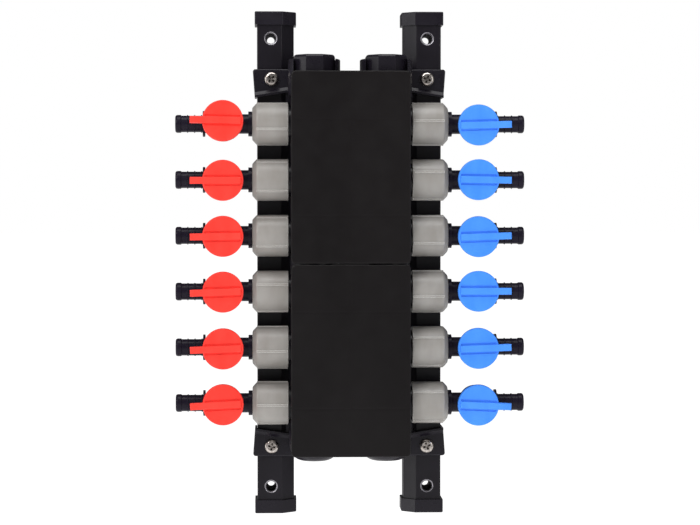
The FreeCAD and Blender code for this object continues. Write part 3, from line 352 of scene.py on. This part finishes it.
def rail_coating():
    """Black coating with a slight orange peel outside, and bare drawn metal inside."""
    material, tree, shader = new_material("coated_rail")
    inside = within_rail(tree)
    streaks = noise(tree, 1.2 * MM, 3.0, (1.0, 1.0, 30.0))
    bare = mix_colours(tree, streaks, (0.30, 0.29, 0.31), (0.46, 0.45, 0.47))
    cloud = remap(tree, noise(tree, 20 * MM, 3.0), 0.35, 0.65)
    coat = mix_colours(tree, cloud, (0.0073, 0.0057, 0.0092), (0.0097, 0.0079, 0.0122))
    paled_share = arithmetic(tree, "MULTIPLY", edge_share(tree, 0.4 * MM), 0.4)
    coat = mix_colours(tree, paled_share, coat, (0.04, 0.038, 0.046))
    tree.links.new(mix_colours(tree, inside, coat, bare), shader.inputs["Base Color"])
    tree.links.new(inside, shader.inputs["Metallic"])
    tree.links.new(remap(tree, streaks, 0.3, 0.7, 0.28, 0.36), shader.inputs["Roughness"])
    shader.inputs["Specular IOR Level"].default_value = 0.3
    orange_peel = (noise(tree, 1.6 * MM, 2.0), 0.03 * MM, 0.35)
    dust = (noise(tree, 0.3 * MM, 1.0), 0.01 * MM, 0.3)
    relief(tree, shader, orange_peel, dust)
    return material


def plated_screw():
    """Nickel plate with duller patches and tool marks, and painted shade darkening the driver recess."""
    material, tree, shader = new_material("screw_metal")
    patches = noise(tree, 1.5 * MM, 3.0)
    plate = mix_colours(tree, remap(tree, patches, 0.35, 0.65), (0.40, 0.35, 0.32), (0.74, 0.69, 0.65))
    # Painted shade: ambient occlusion darkens the driver recess towards a near-black colour.
    open_sky = node(tree, "ShaderNodeAmbientOcclusion", Distance=1.6 * MM)
    open_sky.samples = 16
    open_sky.only_local = True
    unshaded = remap(tree, open_sky.outputs["AO"], 0.45, 0.85)
    tree.links.new(mix_colours(tree, unshaded, (0.035, 0.025, 0.02), plate), shader.inputs["Base Color"])
    shader.inputs["Metallic"].default_value = 1.0
    tree.links.new(remap(tree, patches, 0.3, 0.7, 0.18, 0.34), shader.inputs["Roughness"])
    relief(tree, shader, (noise(tree, 0.25 * MM, 2.0), 0.02 * MM, 0.4))
    return material


def bare_rim_metal():
    """Aluminium laid bare by the drill: pale, scratched round the hole."""
    material, tree, shader = new_material("bare_rim")
    scratches = noise(tree, 0.35 * MM, 4.0, (1.0, 1.0, 3.0))
    colour = mix_colours(tree, scratches, (0.26, 0.25, 0.275), (0.52, 0.50, 0.54))
    tree.links.new(colour, shader.inputs["Base Color"])
    shader.inputs["Metallic"].default_value = 0.85
    tree.links.new(remap(tree, scratches, 0.3, 0.7, 0.3, 0.5), shader.inputs["Roughness"])
    relief(tree, shader, (scratches, 0.03 * MM, 0.5))
    return material


def rubber():
    """Dull seal rubber with a bloom."""
    material, tree, shader = new_material("seal_rubber")
    bloom = noise(tree, 1.0 * MM, 3.0)
    colour = mix_colours(tree, bloom, (0.009, 0.009, 0.009), (0.022, 0.022, 0.021))
    tree.links.new(colour, shader.inputs["Base Color"])
    tree.links.new(remap(tree, bloom, 0.3, 0.7, 0.6, 0.75), shader.inputs["Roughness"])
    relief(tree, shader, (noise(tree, 0.2 * MM, 2.0), 0.01 * MM, 0.4))
    return material


def dress_nodes():
    """Gives every CAD node the finish of its record slot; each cover has a finish of its own."""
    finishes = {slot: moulded(slot, **look) for slot, look in PLASTICS.items()}
    finishes.update({slot: handle_moulding(slot) for slot in HANDLE_COLOURS})
    finishes["coated_rail"] = rail_coating()
    finishes["screw_metal"] = plated_screw()
    finishes["seal_rubber"] = rubber()
    for part in frame["record"]["subparts"]:
        name = part["node"]
        finish = cover_moulding(name) if name.endswith("_cover") else finishes[part["material_slot"]]
        for slot in frame["nodes"][name].material_slots:
            slot.material = finish


# ---------------------------------------------------------------- added pieces


def linked_object(shape, name):
    """An object of a bmesh, which is used up."""
    mesh = bpy.data.meshes.new(name)
    shape.to_mesh(mesh)
    shape.free()
    made = bpy.data.objects.new(name, mesh)
    bpy.context.collection.objects.link(made)
    return made


def smooth_object(shape, name, finish):
    """A smooth-shaded object of a closed bmesh, with a finish."""
    bmesh.ops.recalc_face_normals(shape, faces=shape.faces)
    made = linked_object(shape, name)
    made.data.shade_smooth()
    made.data.materials.append(finish)
    return made


def turned_ring(centre, profile):
    """A ring turned about an axis along Y, with a burr that differs from hole to hole.

    profile is a closed loop of (radius, depth behind the centre).
    """
    shape = bmesh.new()
    rows = []
    for step in range(RING_STEPS):
        angle = 2 * math.pi * step / RING_STEPS
        swell = 1.0 + RIM_BURR * math.sin(2 * angle + centre.x * 90) * math.sin(3 * angle + centre.z * 40)
        row = []
        for radius, depth in profile:
            spot = (radius * swell * math.cos(angle), depth, radius * swell * math.sin(angle))
            row.append(shape.verts.new(centre + Vector(spot)))
        rows.append(row)
    for step, row in enumerate(rows):
        following = rows[(step + 1) % RING_STEPS]
        for i in range(len(profile)):
            j = (i + 1) % len(profile)
            shape.faces.new((row[i], row[j], following[j], following[i]))
    return shape


def add_hole_rims():
    """The bare bevel left by the countersink round each wall-screw hole in a rail's front."""
    pattern = next(m for m in frame["record"]["mounts"] if m["name"] == "wall_holes")
    across, up = pattern["dims"]["spacing_x_mm"] * MM / 2, pattern["dims"]["spacing_y_mm"] * MM / 2
    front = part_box("hot_side_rail")[0][1]
    bore, bevel, film = DRIVER_HOLE_RADIUS, HOLE_BEVEL, RIM_FILM
    profile = [
        (bore + film, bevel),
        (bore - film, bevel - film),
        (bore - film, bevel - 3 * film),
        (bore + bevel - film, -film),
        (bore + bevel + 2 * film, -film),
        (bore + bevel + 2 * film, film),
    ]
    metal = bare_rim_metal()
    for side, x in (("hot", -across), ("cold", across)):
        for end, z in (("upper", up), ("lower", -up)):
            shape = turned_ring(Vector((x, front, z)), profile)
            ring = smooth_object(shape, f"{side}_{end}_hole_rim", metal)
            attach(ring, "manifold")


def add_joint_rib(finish):
    """A low crowned rib behind the covers' tongues, sinking to nothing at its ends, that keeps light out."""
    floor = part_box("lower_cover")[1][2] - TONGUE_HEIGHT
    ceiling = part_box("upper_cover")[0][2] + TONGUE_HEIGHT
    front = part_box("lower_cover")[0][1] + COVER_WALL
    height = ceiling - floor - RIB_GAP
    shape = bmesh.new()
    rows = []
    for section in range(RIB_SECTIONS + 1):
        along = 2 * section / RIB_SECTIONS - 1
        crown = height * (1 - along ** RIB_END_POWER) + RIB_GAP
        row = []
        for step in range(RIB_ARC_STEPS + 1):
            turn = math.pi * step / RIB_ARC_STEPS
            back = front + RIB_DEPTH * (1 - math.cos(turn)) / 2
            up = floor - RIB_GAP + crown * math.sin(turn) ** RIB_CROWN_POWER
            row.append(shape.verts.new((along * RIB_HALF_WIDTH, back, up)))
        rows.append(row)
    for row, following in zip(rows, rows[1:]):
        for i in range(RIB_ARC_STEPS):
            shape.faces.new((row[i], row[i + 1], following[i + 1], following[i]))
        shape.faces.new((row[-1], row[0], following[0], following[-1]))
    shape.faces.new(rows[0])
    shape.faces.new(list(reversed(rows[-1])))
    rib = smooth_object(shape, "cover_joint_rib", finish)
    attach(rib, "manifold")


# ---------------------------------------------------------------- the studio


def add_floor():
    """A plain pale floor well under the hung manifold, bright as a light table but dim in reflections."""
    shape = bmesh.new()
    bmesh.ops.create_grid(shape, x_segments=8, y_segments=8, size=FLOOR_REACH)
    floor = linked_object(shape, "floor")
    floor.location.z = CAD_BOX[0].z - FLOOR_DROP
    material, tree, shader = new_material("pale_floor")
    tone = remap(tree, noise(tree, 0.5, 2.0), 0.3, 0.7)
    tree.links.new(mix_colours(tree, tone, (0.86, 0.86, 0.86), (0.9, 0.9, 0.9)), shader.inputs["Base Color"])
    shader.inputs["Roughness"].default_value = 0.9
    shader.inputs["Emission Color"].default_value = WHITE
    mirrored = tree.nodes.new("ShaderNodeLightPath").outputs["Is Glossy Ray"]
    glow = remap(tree, mirrored, 0.0, 1.0, 1.0, MIRRORED_FLOOR)
    tree.links.new(glow, shader.inputs["Emission Strength"])
    floor.data.materials.append(material)


def add_world():
    """White where the lens sees it; a dim studio for what the glossy plastic reflects."""
    world = bpy.data.worlds.new("studio")
    world.use_nodes = True
    bpy.context.scene.world = world
    tree = world.node_tree
    seen = tree.nodes.new("ShaderNodeLightPath").outputs["Is Camera Ray"]
    strength = remap(tree, seen, 0.0, 1.0, STUDIO_DIMNESS, 1.0)
    sky = tree.nodes["Background"]
    sky.inputs["Color"].default_value = WHITE
    tree.links.new(strength, sky.inputs["Strength"])


def add_softboxes():
    """Rectangular softboxes, each turned to face the manifold's middle."""
    for name, (place_at, (width, height), watts) in SOFTBOXES.items():
        lamp = bpy.data.lights.new(name, "AREA")
        lamp.shape = "RECTANGLE"
        lamp.size = width
        lamp.size_y = height
        lamp.energy = watts
        box = bpy.data.objects.new(name, lamp)
        box.location = place_at
        box.rotation_euler = (-Vector(place_at)).to_track_quat("-Z", "Y").to_euler()
        bpy.context.collection.objects.link(box)


def add_camera():
    """A long lens on a camera a little left of the manifold's middle and above it."""
    port_plane = middle("hot_union_nuts").y
    data = bpy.data.cameras.new("camera")
    data.sensor_width = SENSOR_WIDTH
    data.lens = SENSOR_WIDTH * CAMERA_DISTANCE / VIEW_WIDTH
    camera = bpy.data.objects.new("camera", data)
    camera.location = (-CAMERA_LEFT, port_plane - CAMERA_DISTANCE, CAMERA_UP)
    aim = Vector((0.0, port_plane, AIM_UP))
    camera.rotation_euler = (aim - camera.location).to_track_quat("-Z", "Y").to_euler()
    bpy.context.collection.objects.link(camera)
    bpy.context.scene.camera = camera


bpy.context.scene.view_settings.view_transform = "Standard"
dress_nodes()
add_hole_rims()
add_joint_rib(frame["nodes"]["lower_cover"].material_slots[0].material)
add_floor()
add_world()
add_softboxes()
add_camera()
